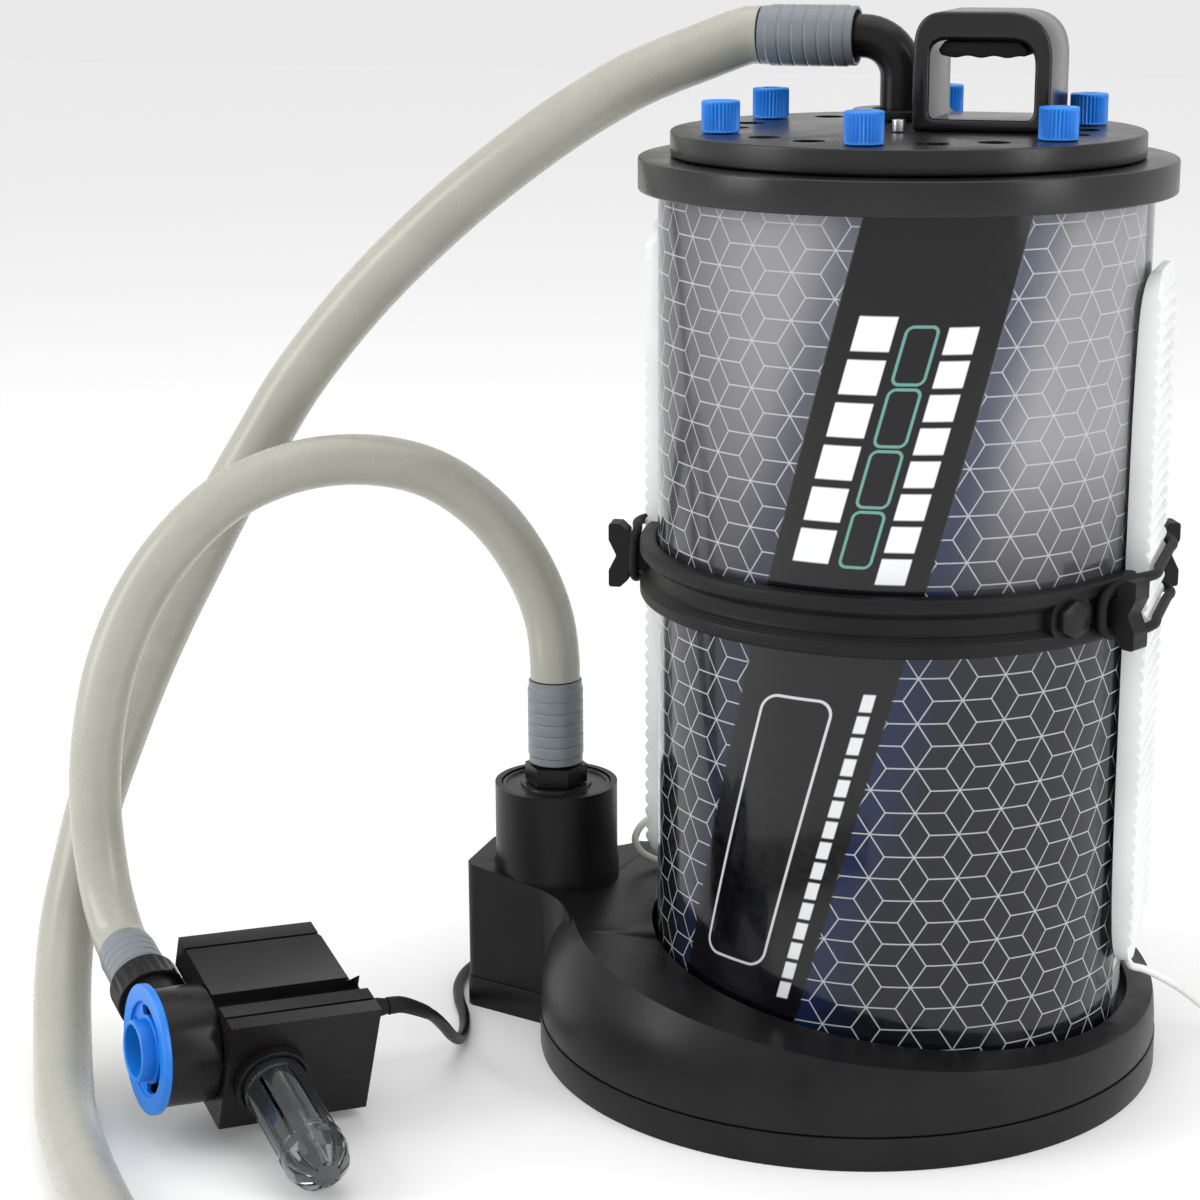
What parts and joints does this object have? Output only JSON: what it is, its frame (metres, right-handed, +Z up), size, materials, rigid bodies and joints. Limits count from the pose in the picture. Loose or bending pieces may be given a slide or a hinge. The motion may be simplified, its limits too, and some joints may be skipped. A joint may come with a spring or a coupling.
{
  "type": "flow-through plant reactor with feed pump",
  "caption": "Upright clear water reactor on a weighted base, with a screwed lid and handle, strapped-on lamps, a small feed pump and translucent hoses.",
  "frame": {"origin": "on the axis of the clear tube, at the underside of the base", "axes": "+Z up along the tube, -Y towards the front of the label, -X towards the water inlet"},
  "size_m": [0.5131, 0.6033, 0.4002],
  "materials": {
    "black_moulding": "satin",
    "black_machined": "satin",
    "black_printed": "layered matt",
    "black_fitting": "satin",
    "pump_housing": "satin",
    "grey_plastic": "matt",
    "clear_acrylic": "polished",
    "printed_label": "gloss print",
    "black_rubber": "matt",
    "stainless_steel": "brushed",
    "blue_plastic": "satin",
    "white_plastic": "matt",
    "ceramic": "polished",
    "smoky_clear": "polished",
    "silicone_hose": "translucent",
    "black_cable": "satin",
    "white_lamp": "satin",
    "lamp_window": "frosted",
    "circuit_board": "solder mask",
    "white_cable": "satin"
  },
  "bodies": {
    "reactor": {"base_bowl": "black_moulding", "base_plate": "black_moulding", "inlet_cap": "black_fitting", "inlet_fitting": "black_fitting", "flow_plate": "grey_plastic", "reactor_tube": "clear_acrylic", "label_film": "printed_label", "top_flange": "black_machined", "lid_seal": "black_rubber", "clamp_ring": "black_printed", "strap_loop_1": "black_rubber", "strap_loop_2": "black_rubber", "pump_body": "pump_housing", "pump_chamber": "pump_housing", "pump_barb": "black_fitting", "impeller_shaft": "ceramic", "strainer_seat": "pump_housing", "cable_gland": "black_rubber", "inlet_cuff": "silicone_hose", "pump_cuff": "silicone_hose", "outlet_hose": "silicone_hose", "inlet_hose": "silicone_hose", "pump_cable": "black_cable", "pump_cable_coil": "black_cable", "mains_plug": "black_fitting", "plug_pin_1": "stainless_steel", "plug_pin_2": "stainless_steel", "lamp_cable_right": "white_cable", "lamp_coil_right": "white_cable", "lamp_connector_right": "black_fitting", "lamp_cable_left": "white_cable", "lamp_coil_left": "white_cable", "lamp_connector_left": "black_fitting"},
    "lid": {"lid": "black_machined", "lift_handle": "black_printed", "handle_grip": "black_rubber", "outlet_elbow": "black_fitting", "elbow_collar": "black_fitting", "outlet_screen": "grey_plastic", "outlet_cuff": "silicone_hose"},
    "vent_screw": {"vent_screw": "stainless_steel"},
    "clamp_screw": {"clamp_screw": "black_fitting"},
    "impeller": {"impeller": "white_plastic"},
    "flow_ring": {"flow_ring": "blue_plastic"},
    "lock_collar": {"lock_collar": "black_fitting"},
    "strainer": {"pump_strainer": "smoky_clear"},
    "thumb_screw_1": {"thumb_screw_1": "blue_plastic"},
    "thumb_screw_2": {"thumb_screw_2": "blue_plastic"},
    "thumb_screw_3": {"thumb_screw_3": "blue_plastic"},
    "thumb_screw_4": {"thumb_screw_4": "blue_plastic"},
    "thumb_screw_5": {"thumb_screw_5": "blue_plastic"},
    "thumb_screw_6": {"thumb_screw_6": "blue_plastic"},
    "lamp_right": {"lamp_housing_right": "white_lamp", "lamp_diffuser_right": "lamp_window", "led_board_right": "circuit_board", "lamp_gland_right": "white_lamp"},
    "lamp_left": {"lamp_housing_left": "white_lamp", "lamp_diffuser_left": "lamp_window", "led_board_left": "circuit_board", "lamp_gland_left": "white_lamp"}
  },
  "joints": [
    {"name": "lid_lift", "type": "slide", "parent": "reactor", "child": "lid", "axis": [0, 0, 1], "range_m": [0, 0.06], "deforming": ["outlet_hose"]},
    {"name": "thumb_screw_1_turn", "type": "hinge", "parent": "lid", "child": "thumb_screw_1", "pos_m": [0, -0.07, 0.359], "axis": [0, 0, 1], "continuous": true},
    {"name": "thumb_screw_2_turn", "type": "hinge", "parent": "lid", "child": "thumb_screw_2", "pos_m": [0.06062, -0.035, 0.359], "axis": [0, 0, 1], "continuous": true},
    {"name": "thumb_screw_3_turn", "type": "hinge", "parent": "lid", "child": "thumb_screw_3", "pos_m": [0.06062, 0.035, 0.359], "axis": [0, 0, 1], "continuous": true},
    {"name": "thumb_screw_4_turn", "type": "hinge", "parent": "lid", "child": "thumb_screw_4", "pos_m": [0, 0.07, 0.359], "axis": [0, 0, 1], "continuous": true},
    {"name": "thumb_screw_5_turn", "type": "hinge", "parent": "lid", "child": "thumb_screw_5", "pos_m": [-0.06062, 0.035, 0.359], "axis": [0, 0, 1], "continuous": true},
    {"name": "thumb_screw_6_turn", "type": "hinge", "parent": "lid", "child": "thumb_screw_6", "pos_m": [-0.06062, -0.035, 0.359], "axis": [0, 0, 1], "continuous": true},
    {"name": "vent_screw_turn", "type": "hinge", "parent": "lid", "child": "vent_screw", "pos_m": [0.0005, -0.017, 0.359], "axis": [0, 0, 1], "continuous": true},
    {"name": "clamp_screw_turn", "type": "hinge", "parent": "reactor", "child": "clamp_screw", "pos_m": [0.07616, -0.06167, 0.19475], "axis": [0.7771, -0.6293, 0], "continuous": true},
    {"name": "lamp_right_slide", "type": "slide", "parent": "reactor", "child": "lamp_right", "axis": [0, 0, 1], "range_m": [-0.012, 0.02], "deforming": ["lamp_cable_right"]},
    {"name": "lamp_left_slide", "type": "slide", "parent": "reactor", "child": "lamp_left", "axis": [0, 0, 1], "range_m": [-0.004, 0.01], "deforming": ["lamp_cable_left"]},
    {"name": "impeller_spin", "type": "hinge", "parent": "reactor", "child": "impeller", "pos_m": [-0.22762, -0.16362, 0.03567], "axis": [0.6905, 0.7201, -0.068], "continuous": true},
    {"name": "flow_ring_turn", "type": "hinge", "parent": "reactor", "child": "flow_ring", "pos_m": [-0.23522, -0.17154, 0.03642], "axis": [0.6905, 0.7201, -0.068], "range_deg": [-60, 60]},
    {"name": "lock_collar_turn", "type": "hinge", "parent": "reactor", "child": "lock_collar", "pos_m": [-0.25102, -0.1404, 0.044], "axis": [-0.6882, 0.683, 0.2447], "continuous": true},
    {"name": "strainer_pull", "type": "slide", "parent": "reactor", "child": "strainer", "axis": [0.6882, -0.683, -0.2447], "range_m": [0, 0.03]}
  ]
}
